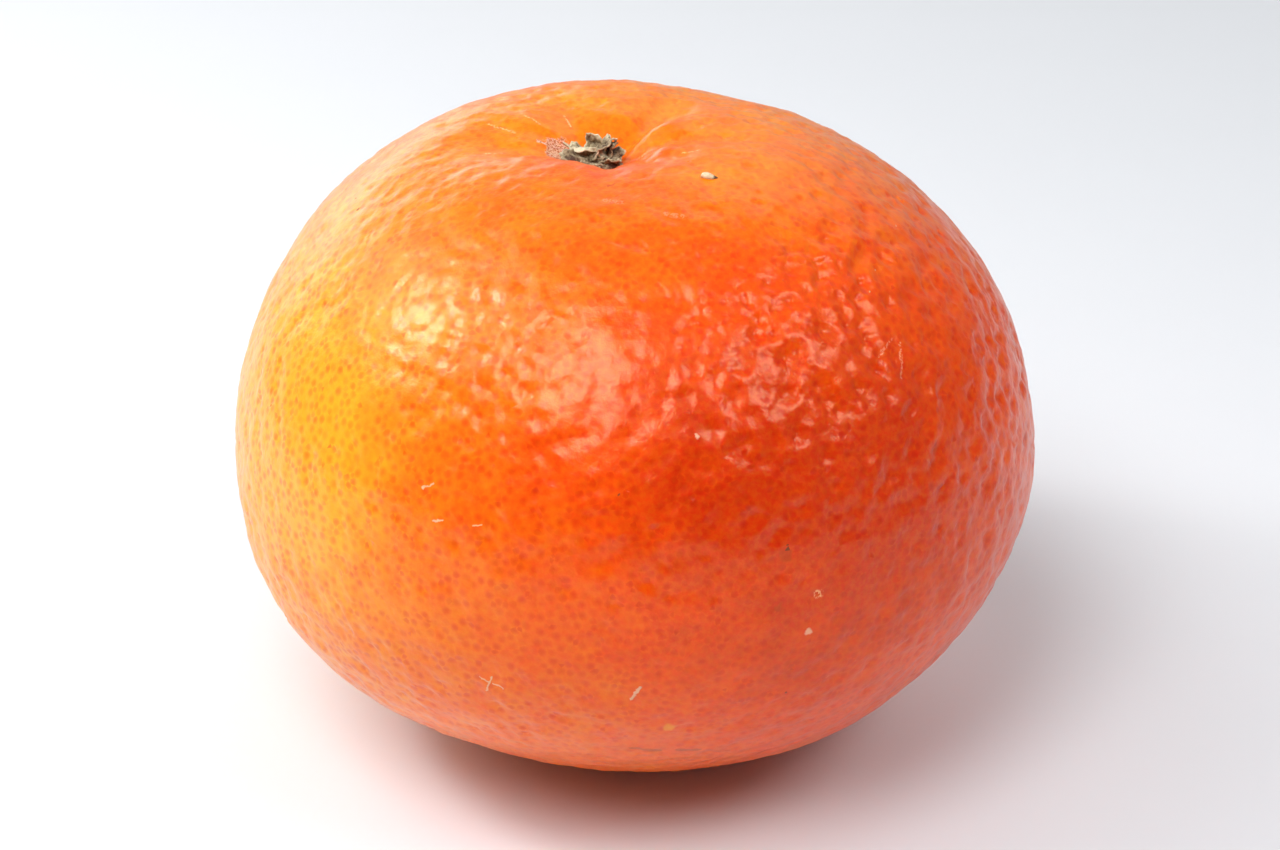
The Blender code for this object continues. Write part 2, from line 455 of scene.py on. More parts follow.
class Nodes:
    """A node tree, written as short calls that return output sockets."""

    def __init__(self, name: str, owner: bpy.types.ID | None = None) -> None:
        """Starts an empty tree in this owner, or in a new material of this name.

        Args:
            name: the name of the new material.
            owner: what holds the tree, where it is not a new material.
        """
        self.owner = owner or bpy.data.materials.new(name)
        self.owner.use_nodes = True
        self.tree = self.owner.node_tree
        self.tree.nodes.clear()

    def add(self, kind: str, inputs: dict | None = None, **settings: object) -> bpy.types.Node:
        """Adds a node.

        Args:
            kind: the node's type, without its ShaderNode prefix.
            inputs: a socket to link, or a value to set, for each input name or number.
            settings: properties of the node itself.

        Returns:
            The node.
        """
        node = self.tree.nodes.new("ShaderNode" + kind)
        for key, value in settings.items():
            setattr(node, key, value)
        for key, value in (inputs or {}).items():
            if isinstance(value, bpy.types.NodeSocket):
                self.tree.links.new(value, node.inputs[key])
            elif isinstance(value, tuple) and len(value) == 3 and node.inputs[key].type == "RGBA":
                node.inputs[key].default_value = (*value, 1.0)
            else:
                node.inputs[key].default_value = value
        return node

    def math(self, operation: str, *values: object) -> bpy.types.NodeSocket:
        """The result of a Math node on up to three values."""
        return self.add("Math", dict(enumerate(values)), operation=operation).outputs[0]

    def vector(self, operation: str, *values: object) -> bpy.types.Node:
        """A Vector Math node on up to three values."""
        return self.add("VectorMath", dict(enumerate(values)), operation=operation)

    def off_middle(self, value: object, share: float, base: object) -> bpy.types.NodeSocket:
        """The base, plus a share of how far the value is above one half."""
        return self.math("MULTIPLY_ADD", self.math("SUBTRACT", value, 0.5), share, base)

    def span(
        self, value: object, low: float, high: float, to_low: float = 0.0, to_high: float = 1.0
    ) -> bpy.types.NodeSocket:
        """The value eased from low..high to to_low..to_high, and held outside it."""
        inputs = {0: value, 1: low, 2: high, 3: to_low, 4: to_high}
        return self.add("MapRange", inputs, interpolation_type="SMOOTHSTEP").outputs[0]

    def noise(
        self, at: object, scale: float, detail: float = 2.0, roughness: float = 0.5,
        distortion: float = 0.0,
    ) -> bpy.types.NodeSocket:
        """The factor of a Noise Texture, about 0.3 to 0.7."""
        inputs = {"Vector": at, "Scale": scale, "Detail": detail, "Roughness": roughness}
        return self.add("TexNoise", inputs | {"Distortion": distortion}).outputs[0]

    def mix(
        self, share: object, first: object, second: object, blend: str = "MIX"
    ) -> bpy.types.NodeSocket:
        """Two colours mixed by a share of the second."""
        inputs = {0: share, 6: first, 7: second}
        return self.add("Mix", inputs, data_type="RGBA", blend_type=blend).outputs[2]

    def ramp(
        self, value: object, stops: tuple[tuple[float, Colour], ...]
    ) -> bpy.types.NodeSocket:
        """The colour at a value along a colour ramp.

        Args:
            value: the place to read along the ramp.
            stops: pairs of a place and a colour.

        Returns:
            The colour there.
        """
        node = self.add("ValToRGB", {0: value})
        ends = node.color_ramp.elements
        while len(ends) < len(stops):
            ends.new(0.5)
        for element, (place, colour) in zip(ends, stops):
            element.position = place
            element.color = (*colour, 1.0)
        return node.outputs[0]

    def attribute(self, name: str) -> bpy.types.Node:
        """An Attribute node that reads the mesh's own data."""
        return self.add("Attribute", attribute_name=name)

    def object_place(self) -> bpy.types.NodeSocket:
        """The Object coordinate, in metres."""
        return self.add("TexCoord").outputs["Object"]

    def bump(self, height: object, distance: float) -> bpy.types.NodeSocket:
        """A Bump node's normal, for a height of 0 to 1 that stands for a distance."""
        inputs = {"Height": height, "Distance": distance, "Strength": 1.0}
        return self.add("Bump", inputs).outputs[0]

    def finish(self, inputs: dict) -> bpy.types.Material:
        """Ends the tree with a Principled shader of these inputs, and returns the material."""
        self.add("OutputMaterial", {"Surface": self.add("BsdfPrincipled", inputs).outputs[0]})
        return self.owner


class BlemishKind(Enum):
    """What kind of small mark the peel has: its colour, and its texture.

    The texture is 1 for a matt scab, 0 for a smooth stain and -1 for a gritty scuff.
    """

    SPECK = (0.13, 0.045, 0.018, 1.0)
    SCAR = (0.90, 0.52, 0.33, 1.0)
    PALE = (1.0, 0.60, 0.28, -1.0)
    YELLOW = (0.96, 0.40, 0.02, 0.0)
    BRUISE = (0.50, 0.050, 0.004, 0.0)
    SCUFF = (0.98, 0.36, 0.20, -1.0)


@dataclass(frozen=True)
class Blemish:
    """A small mark on the peel: a spot of a radius in mm, or a stroke to a second place."""

    kind: BlemishKind
    azimuth: float
    elevation: float
    radius_mm: float
    strength: float = 0.8
    stroke: tuple[float, float] = (0.0, 0.0)


@dataclass(frozen=True)
class PeelFinish:
    """Waxy ripe peel: clear deep colour under a thin gloss, with darker oil glands.

    Scales are in noise cells per metre, except those of the cork, which lies on the sphere
    of directions. The cork reaches cork_reach from the direction cork_middle.
    """

    # From yellow to deep: the peel's own colours; the deep end is also used as painted shade on
    # the dim front right.
    yellow: Colour = (0.93, 0.38, 0.012)
    orange: Colour = (0.94, 0.20, 0.003)
    red_orange: Colour = (0.90, 0.085, 0.001)
    deep: Colour = (0.68, 0.042, 0.001)
    gland_tint: Colour = (0.87, 0.48, 0.64)
    cork: Colour = (0.86, 0.56, 0.40)
    cork_hole: Colour = (0.50, 0.13, 0.055)
    cork_middle: tuple[float, float] = (166.0, 82.2)
    cork_reach: tuple[float, float] = (0.120, 0.106)
    cork_scale: float = 118.0
    spot_edge: tuple[float, float] = (0.66, 0.05)
    mottle_scale: float = 320.0
    fine_scale: float = 1150.0
    grain_scale: float = 2400.0
    grain_green: float = 0.018
    relief: float = 0.075 * MM

    def material(self) -> bpy.types.Material:
        """The peel's material, which reads the mesh data that Peel and Marks store.

        Returns:
            The finished material.
        """
        nodes = Nodes("citrus_peel")
        place = nodes.object_place()
        gland = nodes.attribute("gland").outputs["Vector"]
        parts = nodes.add("SeparateXYZ", {0: gland})
        flat = nodes.vector("MULTIPLY", gland, (1.0, 1.0, 0.0)).outputs[0]
        from_gland = nodes.vector("LENGTH", flat).outputs["Value"]
        tone = parts.outputs["Z"]
        spot = nodes.math("MULTIPLY", nodes.span(from_gland, *self.spot_edge), tone)

        mottle = nodes.noise(place, self.mottle_scale, 3.0, 0.6)
        # The tone stored on the mesh is partly the peel's own colouring, partly painted shade on
        # the dim front right and painted bounce light on the lower front.
        shade = nodes.off_middle(mottle, 0.50, nodes.attribute("ripeness_and_shade").outputs["Fac"])
        fine = nodes.noise(place, self.fine_scale, 3.0, 0.6)
        shade = nodes.off_middle(fine, 0.16, shade)
        ripeness_and_shade_colours = (self.yellow, self.orange, self.red_orange, self.deep)
        ground = nodes.ramp(shade, tuple(zip((0.0, 0.34, 0.68, 1.0), ripeness_and_shade_colours)))
        grain = nodes.noise(place, self.grain_scale, 2.0, 0.7)
        green = nodes.span(grain, 0.3, 0.7, -self.grain_green, self.grain_green)
        yellower = nodes.add("CombineXYZ", {1: green}).outputs[0]
        ground = nodes.vector("ADD", ground, yellower).outputs[0]
        colour = nodes.mix(spot, ground, nodes.mix(1.0, ground, self.gland_tint, "MULTIPLY"))
        colour, matt = self.marked(nodes, colour)

        crinkle = nodes.attribute("crinkle").outputs["Fac"]
        pits = nodes.math("MULTIPLY", nodes.math("MULTIPLY", spot, crinkle), -0.25)
        height = nodes.math("MULTIPLY_ADD", fine, 0.85, pits)
        height = nodes.math("MULTIPLY_ADD", matt, 0.5, height)
        return nodes.finish(
            {
                "Base Color": colour,
                "Roughness": nodes.math("MULTIPLY_ADD", matt, 0.4, 0.29),
                "IOR": 1.5,
                "Specular Tint": (1.0, 0.81, 0.44),
                "Coat Weight": 0.15,
                "Coat Roughness": 0.20,
                "Subsurface Weight": 0.30,
                "Subsurface Radius": (1.0, 0.28, 0.06),
                "Subsurface Scale": 1.6 * MM,
                "Normal": nodes.bump(height, self.relief),
            }
        )

    def marked(self, nodes: Nodes, colour: object) -> tuple[object, object]:
        """Draws the blemishes and the corky netting by the calyx over the peel's colour.

        Args:
            nodes: the material's tree.
            colour: the socket of the plain peel's colour.

        Returns:
            The socket of the marked colour, and that of how corky and matt the place is.
        """
        own = nodes.attribute("own").outputs["Vector"]
        wobble = nodes.add("TexNoise", {"Vector": own, "Scale": 75.0, "Detail": 2.0}).outputs[1]
        wobble = nodes.vector("SUBTRACT", wobble, (0.5, 0.5, 0.5)).outputs[0]
        moved = nodes.vector("MULTIPLY_ADD", wobble, (0.55, 0.55, 0.0))
        nodes.tree.links.new(nodes.attribute("mark").outputs["Vector"], moved.inputs[2])
        offset = nodes.add("SeparateXYZ", {0: moved.outputs[0]}).outputs
        mark_size = nodes.attribute("mark_size").outputs["Vector"]
        size = nodes.add("SeparateXYZ", {0: mark_size}).outputs
        past_end = nodes.math("SUBTRACT", nodes.math("ABSOLUTE", offset[0]), offset[2])
        past_end = nodes.math("MAXIMUM", past_end, 0.0)
        squares = nodes.math("MULTIPLY", past_end, past_end)
        away = nodes.math("SQRT", nodes.math("MULTIPLY_ADD", offset[1], offset[1], squares))
        mask = nodes.span(nodes.math("DIVIDE", away, size[0]), 1.15, 0.55)
        grit = nodes.span(nodes.noise(own, 170.0, 2.0), 0.42, 0.58)
        is_gritty = nodes.math("LESS_THAN", size[2], -0.5)
        grit = nodes.math("MAXIMUM", grit, nodes.math("SUBTRACT", 1.0, is_gritty))
        mask = nodes.math("MULTIPLY", nodes.math("MULTIPLY", mask, size[1]), grit)
        colour = nodes.mix(mask, colour, nodes.attribute("mark_colour").outputs["Vector"])

        place = nodes.vector("MULTIPLY_ADD", wobble, (0.026, 0.026, 0.026), own).outputs[0]
        cells = {"Vector": place, "Scale": self.cork_scale, "Randomness": 1.0}
        edge = nodes.add("TexVoronoi", cells, feature="DISTANCE_TO_EDGE").outputs["Distance"]
        line = nodes.span(edge, 0.17, 0.05)
        away = nodes.vector("DISTANCE", place, tuple(unit(*self.cork_middle))).outputs["Value"]
        ragged = nodes.math("MULTIPLY_ADD", nodes.noise(own, 34.0, 3.0), 0.12, away)
        corky = nodes.span(ragged, *self.cork_reach)
        cork = nodes.mix(line, self.cork_hole, self.cork)
        colour = nodes.mix(nodes.math("MULTIPLY", corky, 0.9), colour, cork)
        matt = nodes.math("MULTIPLY", corky, nodes.math("MULTIPLY_ADD", line, 0.8, 0.2))
        scabby = nodes.math("MULTIPLY", mask, nodes.math("MAXIMUM", size[2], 0.0))
        return colour, nodes.math("MAXIMUM", matt, scabby)


@dataclass(frozen=True)
class Marks:
    """Every blemish of the peel, as mesh data that the peel's finish draws."""

    blemishes: tuple[Blemish, ...] = (
        *each(
            partial(Blemish, BlemishKind.SPECK),
            (-171.0, 50.0, 0.20), (-177.0, 50.0, 0.14), (-87.0, -17.0, 0.15),
            (-67.0, -4.0, 0.17), (-69.0, 7.6, 0.13, 0.85, (0.4, 1.8)), (-90.0, 20.0, 0.10),
            (-70.0, -14.0, 0.13), (100.0, 30.0, 0.16), (140.0, -10.0, 0.13),
        ),
        *each(
            partial(Blemish, BlemishKind.SCAR),
            (-112.0, -6.5, 0.10, 0.85, (3.0, -1.6)), (-111.5, -9.0, 0.10, 0.8, (1.2, 2.8)),
            (-91.5, -10.0, 0.16, 0.85, (1.3, 2.2)), (-67.0, -4.0, 0.34, 0.7),
            (-78.0, 26.0, 0.22), (-118.5, 20.0, 0.09, 0.75, (1.6, 0.7)),
            (-116.5, 16.0, 0.09, 0.75, (1.5, 0.2)), (-110.5, 16.0, 0.08, 0.7, (1.2, 0.2)),
            (-34.0, 38.0, 0.10), (-19.0, 40.0, 0.10), (-39.0, 36.0, 0.10),
            (20.0, -84.0, 0.8, 0.9), (60.0, 15.0, 0.15, 0.8, (5.0, -2.0)),
        ),
        *each(
            partial(Blemish, BlemishKind.YELLOW),
            (-87.0, -17.0, 0.55, 0.6), (-151.0, 27.0, 0.9, 0.5),
        ),
        *each(
            partial(Blemish, BlemishKind.PALE),
            (-65.2, 1.2, 0.42, 0.75), (158.0, 74.0, 0.14, 0.8, (-3.0, -4.5)),
            (-178.0, 73.0, 0.16, 0.8, (2.0, -2.5)), (143.0, 77.0, 0.12, 0.7, (-2.0, -3.5)),
            (120.0, 79.0, 0.12, 0.7, (-2.0, -3.0)), (-30.0, 74.0, 0.12, 0.7, (6.0, -2.0)),
        ),
        *each(
            partial(Blemish, BlemishKind.BRUISE),
            (-69.0, 8.0, 0.6, 0.5), (-71.0, 1.0, 0.35, 0.6),
            (-93.0, -22.5, 0.35, 0.75, (4.0, -2.0)), (-86.0, -24.5, 0.30, 0.7, (3.0, -1.0)),
            (-86.0, 70.0, 0.14, 0.7, (3.0, 0.5)),
        ),
        *each(
            partial(Blemish, BlemishKind.SCUFF),
            (-43.0, 24.0, 0.16, 0.6, (3.0, 4.0)), (-45.0, 28.0, 0.14, 0.6, (4.0, 1.0)),
            (-88.0, 66.0, 0.35, 0.45, (6.0, -1.5)), (-70.0, 60.0, 0.30, 0.45, (4.0, -1.5)),
        ),
    )

    def store_on(
        self, mesh: bpy.types.Mesh, directions: Array, faces: Array, radius: float
    ) -> None:
        """Stores, for each face, the one blemish that reaches furthest over it.

        Each corner holds its place along and across the blemish's stroke and half the
        stroke's length, all in millimetres. Each face also holds the blemish's radius,
        strength and texture, and its colour. A face with no blemish holds strength 0.

        Args:
            mesh: the peel's mesh.
            directions: unit vectors of its points.
            faces: its triangles.
            radius: the distance from the centre to the skin, in metres.
        """
        middles = directions[faces].mean(axis=1)
        nearest = np.full(len(faces), 1.0)
        offsets = np.full((len(faces), 3, 3), 9.0)
        sizes = np.tile((1.0, 0.0, 0.0), (len(faces), 1))
        colours = np.zeros((len(faces), 3))
        for item in self.blemishes:
            start = unit(item.azimuth, item.elevation)
            end = unit(item.azimuth + item.stroke[0], item.elevation + item.stroke[1] + 1e-3)
            middle, along = normalised(start + end), normalised(end - start)
            axes = np.stack((along, np.cross(middle, along)), axis=1) * radius / MM
            half = np.linalg.norm(end - start) / 2.0 * radius / MM
            off = (middles - middle) @ axes
            behind = np.where(middles @ middle < 0.9, 9.0, 0.0)
            past_end = np.maximum(np.abs(off[:, 0]) - half, 0.0)
            away = np.hypot(past_end, off[:, 1]) - item.radius_mm + behind
            near = away < nearest
            nearest[near] = away[near]
            places = (directions[faces[near]] - middle) @ axes
            halves = np.full((*places.shape[:2], 1), half)
            offsets[near] = np.concatenate((places, halves), axis=2)
            *colour, texture = item.kind.value
            sizes[near] = (item.radius_mm, item.strength, texture)
            colours[near] = colour
        store(mesh, "mark", "FLOAT_VECTOR", "CORNER", offsets)
        store(mesh, "mark_size", "FLOAT_VECTOR", "FACE", sizes)
        store(mesh, "mark_colour", "FLOAT_VECTOR", "FACE", colours)


@dataclass(frozen=True)
class DryFinish:
    """Dry matt plant tissue: dark fibre, grey tan skin and pale cream rims, with veins."""

    name: str
    dark: Colour = (0.085, 0.038, 0.022)
    tan: Colour = (0.34, 0.26, 0.15)
    cream: Colour = (0.80, 0.70, 0.48)
    scale: float = 2100.0

    def material(self) -> bpy.types.Material:
        """The material, which reads Object coordinates and the attribute pale.

        Returns:
            The finished material.
        """
        nodes = Nodes(self.name)
        place = nodes.object_place()
        pale = nodes.attribute("pale").outputs["Fac"]
        veins = nodes.noise(place, self.scale, 6.0, 0.72, 0.8)
        blotches = nodes.noise(place, self.scale * 0.35, 2.0)
        shade = nodes.off_middle(blotches, 1.2, nodes.off_middle(veins, 2.4, pale))
        colour = nodes.ramp(shade, ((0.0, self.dark), (0.34, self.tan), (0.95, self.cream)))
        relief = nodes.bump(veins, 0.16 * MM)
        return nodes.finish({"Base Color": colour, "Roughness": 0.88, "Normal": relief})


@dataclass(frozen=True)
class PaperFinish:
    """Smooth pale paper for the studio floor."""

    colour: Colour = (0.795, 0.815, 0.848)

    def material(self) -> bpy.types.Material:
        """The material, faintly uneven so that it isn't one flat value.

        Returns:
            The finished material.
        """
        nodes = Nodes("studio_paper")
        grain = nodes.noise(nodes.object_place(), 60.0, 3.0)
        darker = tuple(part * 0.985 for part in self.colour)
        colour = nodes.mix(grain, self.colour, darker)
        return nodes.finish({"Base Color": colour, "Roughness": 0.75})


# ---------------------------------------------------------------- the fruit


@dataclass
class Peel:
    """The outside of the fruit, with one mesh point in the middle of each oil gland.

    Waves are rows of a seed, a wavelength and a height, the crinkled ones for skin that is
    crinkled by 1. A pock is a small hollow, as wide as pock_width of the distance pock_apart
    between pocks, whose place wanders by pock_wander over pock_bend.
    """

    form: FruitForm
    finish: PeelFinish
    marks: Marks
    gland_count: int = 21500
    gland_spacing: float = 0.80 * MM
    unevenness: float = 0.42
    seed: int = 11
    waves: tuple[tuple[int, float, float], ...] = ((2, 14.0 * MM, 0.12), (3, 6.5 * MM, 0.10))
    crinkled_waves: tuple[tuple[int, float, float], ...] = (
        (5, 1.45 * MM, 0.07),
        (7, 3.6 * MM, 0.08),
    )
    pock_apart: float = 1.75 * MM
    pock_depth: float = 0.28
    pock_width: float = 0.38
    pock_bend: float = 2.2 * MM
    pock_wander: float = 0.55 * MM
    lumps: tuple[Swelling, ...] = each(
        Swelling,
        (-70.0, 38.0, -0.25, 12.0), (-105.0, 45.0, 0.12, 11.0), (60.0, 58.0, -0.35, 9.0),
        (140.0, 44.0, -0.35, 9.0),
    )
    crinkles: tuple[Swelling, ...] = each(
        Swelling,
        (-56.0, 33.0, 1.4, 14.0), (-15.0, 15.0, 0.6, 28.0), (-132.0, 36.0, -0.28, 16.0),
        (-108.0, 28.0, 0.50, 12.0), (-110.0, 35.0, 0.3, 7.0), (-102.0, 43.0, 0.45, 6.5),
        (-86.0, 37.0, -0.72, 8.5), (-24.0, 48.0, -0.12, 12.0), (-108.0, 12.0, 0.20, 14.0),
        (-165.0, -25.0, 0.5, 24.0), (80.0, 62.0, 0.30, 30.0),
    )
    swirls: tuple[Swirl, ...] = (Swirl(-125.0, 47.0, 3.2, 1.7, 0.027, 5.6),)
    # Tone bells over the sphere: partly the peel's own yellow to deep red colouring, partly
    # painted shade that makes the dim front right deeper and redder, and a painted bounce light,
    # the bell at (-95, -18), that makes the lower front yellower.
    ripeness_and_shade: tuple[Swelling, ...] = each(
        Swelling,
        (178.0, -2.0, -0.52, 33.0), (-152.0, 20.0, -0.24, 18.0), (45.0, 74.0, -0.21, 32.0),
        (30.0, 36.0, -0.13, 28.0), (-20.0, 0.0, 0.24, 36.0), (-78.0, 2.0, 0.26, 23.0),
        (-90.0, 82.0, 0.26, 11.0), (-50.0, 30.0, 0.16, 15.0), (-55.0, 6.0, 0.16, 15.0),
        (-42.0, 63.0, -0.15, 7.0), (-138.0, 20.0, -0.19, 14.0), (-112.0, 22.0, 0.06, 9.0),
        (-77.0, 27.0, 0.18, 12.0), (-95.0, -18.0, -0.07, 20.0),
    )

    def gland_directions(self) -> tuple[Array, Array]:
        """Directions of the oil glands, evenly but irregularly spread.

        Points on a spiral of equal area steps are moved at random by a share of their
        spacing, then each moves half way to the mean of its neighbours.

        Returns:
            Unit vectors in the fruit's own frame, and the triangles that join them.
        """
        rng = np.random.default_rng(self.seed)
        index = np.arange(self.gland_count) + 0.5
        height = 1.0 - 2.0 * index / self.gland_count
        turn = index * math.pi * (3.0 - math.sqrt(5.0))
        level = np.sqrt(1.0 - height**2)
        spiral = np.stack((level * np.cos(turn), level * np.sin(turn), height), axis=1)
        spacing = math.sqrt(4.0 * math.pi / self.gland_count)
        moved = spiral + rng.normal(size=spiral.shape) * spacing * self.unevenness
        directions, triangles = hull(normalised(moved))
        edges, _ = joined_pairs(triangles)
        both = np.concatenate((edges, edges[:, ::-1]))
        count = np.bincount(both[:, 0], minlength=len(directions))
        sums = [
            np.bincount(both[:, 0], directions[both[:, 1], axis], len(directions))
            for axis in range(3)
        ]
        mean = np.stack(sums, axis=1) / count[:, None]
        return hull(normalised(directions + mean))

    def crinkled(self, directions: Array) -> Array:
        """How strongly the skin is crinkled at each direction, 0.15 to 2.1.

        Args:
            directions: unit vectors, as rows.

        Returns:
            One strength for each direction.
        """
        places = directions * self.form.equator_radius
        patchy = 0.62 + 0.35 * LatticeNoise(6).at(places, 11.0 * MM)
        return np.clip(patchy + bells(directions, self.crinkles), 0.15, 2.1)

    def creases(self, directions: Array) -> Array:
        """Small creases that run outwards round the stem, faded by a bell at 13 degrees.

        Relief that varies fast round the stem axis and slowly along it.

        Args:
            directions: unit vectors in the fruit's own frame, as rows.

        Returns:
            One height for each direction, in metres.
        """
        down_angle = np.degrees(np.arccos(np.clip(directions[:, 2], -1.0, 1.0)))
        round_axis = normalised(directions[:, :2] + 1e-9) * 3.2
        places = np.column_stack((round_axis, down_angle / 9.0))
        fade = np.exp(-(((down_angle - 13.0) / 8.0) ** 2))
        broad, fine = LatticeNoise(9).at(places, 1.0), LatticeNoise(10).at(places, 0.36)
        return (0.20 * broad + 0.07 * fine) * MM * fade

    def relief(self, directions: Array, glands: int, tone: Array) -> Array:
        """Height of the skin over the plain form, in metres.

        It is the lumps and the waves, less a bell exp(-d^1.8) for each pock, plus the
        crinkled waves, the creases and the swirls, less a small pit in each gland.

        Args:
            directions: unit vectors in the fruit's own frame, glands first.
            glands: how many of the directions are gland middles.
            tone: how strong each gland is, 0 to 1.

        Returns:
            One height for each direction.
        """
        places = directions * self.form.equator_radius
        height = MM * bells(directions, self.lumps)
        for seed, wavelength, depth in self.waves:
            height += depth * MM * LatticeNoise(seed).at(places, wavelength)
        crinkled = self.crinkled(directions)
        warp = [LatticeNoise(30 + axis).at(places, self.pock_bend) for axis in range(3)]
        warped = places + self.pock_wander * np.stack(warp, axis=1)
        from_pock = CellNoise(4).at(warped, self.pock_apart)
        pocks = np.exp(-((from_pock / self.pock_width) ** 1.8))
        height -= crinkled * self.pock_depth * MM * pocks
        for seed, wavelength, depth in self.crinkled_waves:
            height += crinkled * depth * MM * LatticeNoise(seed).at(places, wavelength)
        height += self.creases(directions)
        for swirl in self.swirls:
            height += swirl.relief(directions, self.form.equator_radius)
        height[:glands] -= (0.008 + 0.035 * tone**2) * (0.4 + 0.6 * crinkled[:glands]) * MM
        return height

    def build(self) -> bpy.types.Object:
        """Builds the peel as one closed mesh and dresses it.

        Returns:
            The object, with its mesh data and its material.
        """
        rng = np.random.default_rng(self.seed + 1)
        glands, triangles = self.gland_directions()
        edges, sides = joined_pairs(triangles)
        middles = normalised(glands[edges[:, 0]] + glands[edges[:, 1]])
        directions = np.concatenate((glands, middles))
        fainter = 0.35 * smooth_step(0.6, 1.0, glands[:, 2])
        tone = rng.beta(2.7, 1.9, len(glands)) * (1.0 - fainter)

        first = triangles
        following = sides + len(glands)
        before = np.roll(following, 1, axis=1)
        corners = np.stack((first, following, before), axis=-1)
        faces = np.concatenate((corners.reshape(-1, 3), following))

        radius = self.form.radius(directions) + self.relief(directions, len(glands), tone)
        places = self.form.placed(directions * radius[:, None])
        rounding = 0.06 * MM
        places[:, 2] = (places[:, 2] + np.sqrt(places[:, 2] ** 2 + rounding**2)) / 2.0
        piece = mesh_piece("mandarin_peel", places, faces)

        offsets = self.gland_offsets(directions, corners, tone)
        store(piece.data, "gland", "FLOAT_VECTOR", "CORNER", offsets)
        store(piece.data, "own", "FLOAT_VECTOR", "POINT", directions)
        # The peel's tone, with painted shade on the dim front right and painted bounce light on
        # the lower front.
        ripeness_and_shade = 0.5 + bells(directions, self.ripeness_and_shade)
        ripeness_and_shade += 0.06 * LatticeNoise(8).at(directions, 0.5)
        store(piece.data, "ripeness_and_shade", "FLOAT", "POINT", ripeness_and_shade)
        store(piece.data, "crinkle", "FLOAT", "POINT", self.crinkled(directions))
        self.marks.store_on(piece.data, directions, faces, self.form.equator_radius)
        piece.data.materials.append(self.finish.material())
        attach(piece, BODY)
        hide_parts("fruit")
        return piece

    def gland_offsets(self, directions: Array, corners: Array, tone: Array) -> Array:
        """For each face corner, its place as seen from the gland that the face belongs to.

        Each gland's triangles hold the offset from its middle along two directions square
        to its own, in steps of the gland spacing, and the gland's tone. The triangles that
        touch no gland hold a far offset, so that no spot reaches them.

        Args:
            directions: unit vectors, glands first.
            corners: for each old triangle and gland of it, the three corners of its share.
            tone: how strong each gland is.

        Returns:
            One row of three for each corner of the finished mesh.
        """
        owner = directions[corners[..., 0]]
        level = normalised(np.cross(owner, (0.13, 0.31, 0.94)))
        other = np.cross(owner, level)
        step = self.form.equator_radius / self.gland_spacing
        apart = (directions[corners] - owner[..., None, :]) * step
        own = np.stack(
            (
                np.einsum("tgcx,tgx->tgc", apart, level),
                np.einsum("tgcx,tgx->tgc", apart, other),
                np.broadcast_to(tone[corners[..., 0]][..., None], corners.shape),
            ),
            axis=-1,
        )
        far = np.broadcast_to((9.0, 9.0, 0.0), (len(corners) * 3, 3))
        return np.concatenate((own.reshape(-1, 3), far))


@dataclass(frozen=True)
class Lobe:
    """One dried lobe of the calyx: a crumpled strip that leaves the stem towards an azimuth.

    Its root is start_mm from the middle. It rises at the angle rise and turns upwards by
    curl degrees on its way to the tip, or downwards where curl is negative. Its sides stand
    cup_mm above its middle line, and roll degrees lift its left side as seen from the root.
    Its tone goes from 0, grey brown, to 1, cream.
    """

    azimuth: float
    start_mm: float
    length_mm: float
    width_mm: float
    rise: float
    curl: float
    cup_mm: float
    tone: float
    roll: float = 0.0
    foot_mm: float = 0.2
    tip: float = 0.45

    def places(self, seed: int, along_steps: int, across_steps: int) -> tuple[Array, Array]:
        """The strip's points in the calyx's frame, and how pale each is.

        The middle line is an arc, whose angle is rise + curl times the share of the length.
        The half width shrinks to the share tip with the square of the length, with a ragged
        edge. Lattice relief of 0.9 mm and 0.35 mm crumples it.

        Args:
            seed: which crumpling it has.
            along_steps: points along its length.
            across_steps: points across its width.

        Returns:
            Rows of three, and one paleness for each row.
        """
        sides = np.linspace(-1.0, 1.0, across_steps)
        along, across = spread(np.linspace(0.0, 1.0, along_steps), sides)
        start, bend = math.radians(self.rise), math.radians(self.curl)
        angle = start + bend * along
        outward = self.start_mm + self.length_mm / bend * (np.sin(angle) - math.sin(start))
        upward = self.foot_mm - self.length_mm / bend * (np.cos(angle) - math.cos(start))
        lift = self.cup_mm * across**2 * np.sqrt(along)
        half = self.width_mm / 2.0 * (1.0 - (1.0 - self.tip) * along**2)
        half *= 0.45 + 0.55 * np.sqrt(along)
        edge = as_rows(along * 3.0, np.sign(across) * 4.0, np.full_like(along, seed))
        ragged = LatticeNoise(40).at(edge, 1.0).reshape(along.shape)
        side = across * half * (1.0 + 0.30 * ragged)
        turn = math.radians(self.azimuth)
        outward = outward - np.sin(angle) * lift
        level = side * math.cos(math.radians(self.roll))
        x = outward * math.cos(turn) - level * math.sin(turn)
        y = outward * math.sin(turn) + level * math.cos(turn)
        z = upward + np.cos(angle) * lift + side * math.sin(math.radians(self.roll))
        rows = as_rows(x, y, z)
        moved = [
            0.30 * LatticeNoise(50 + seed * 3 + axis).at(rows, 0.9)
            + 0.10 * LatticeNoise(70 + seed * 3 + axis).at(rows, 0.35)
            for axis in range(3)
        ]
        rows = rows + np.stack(moved, axis=1) * np.clip(along.reshape(-1, 1) * 3.0, 0.2, 1.0)
        rim = np.maximum(smooth_step(0.72, 1.0, np.abs(across)), smooth_step(0.86, 1.0, along))
        return rows * MM, self.tone + (0.35 * rim).ravel()


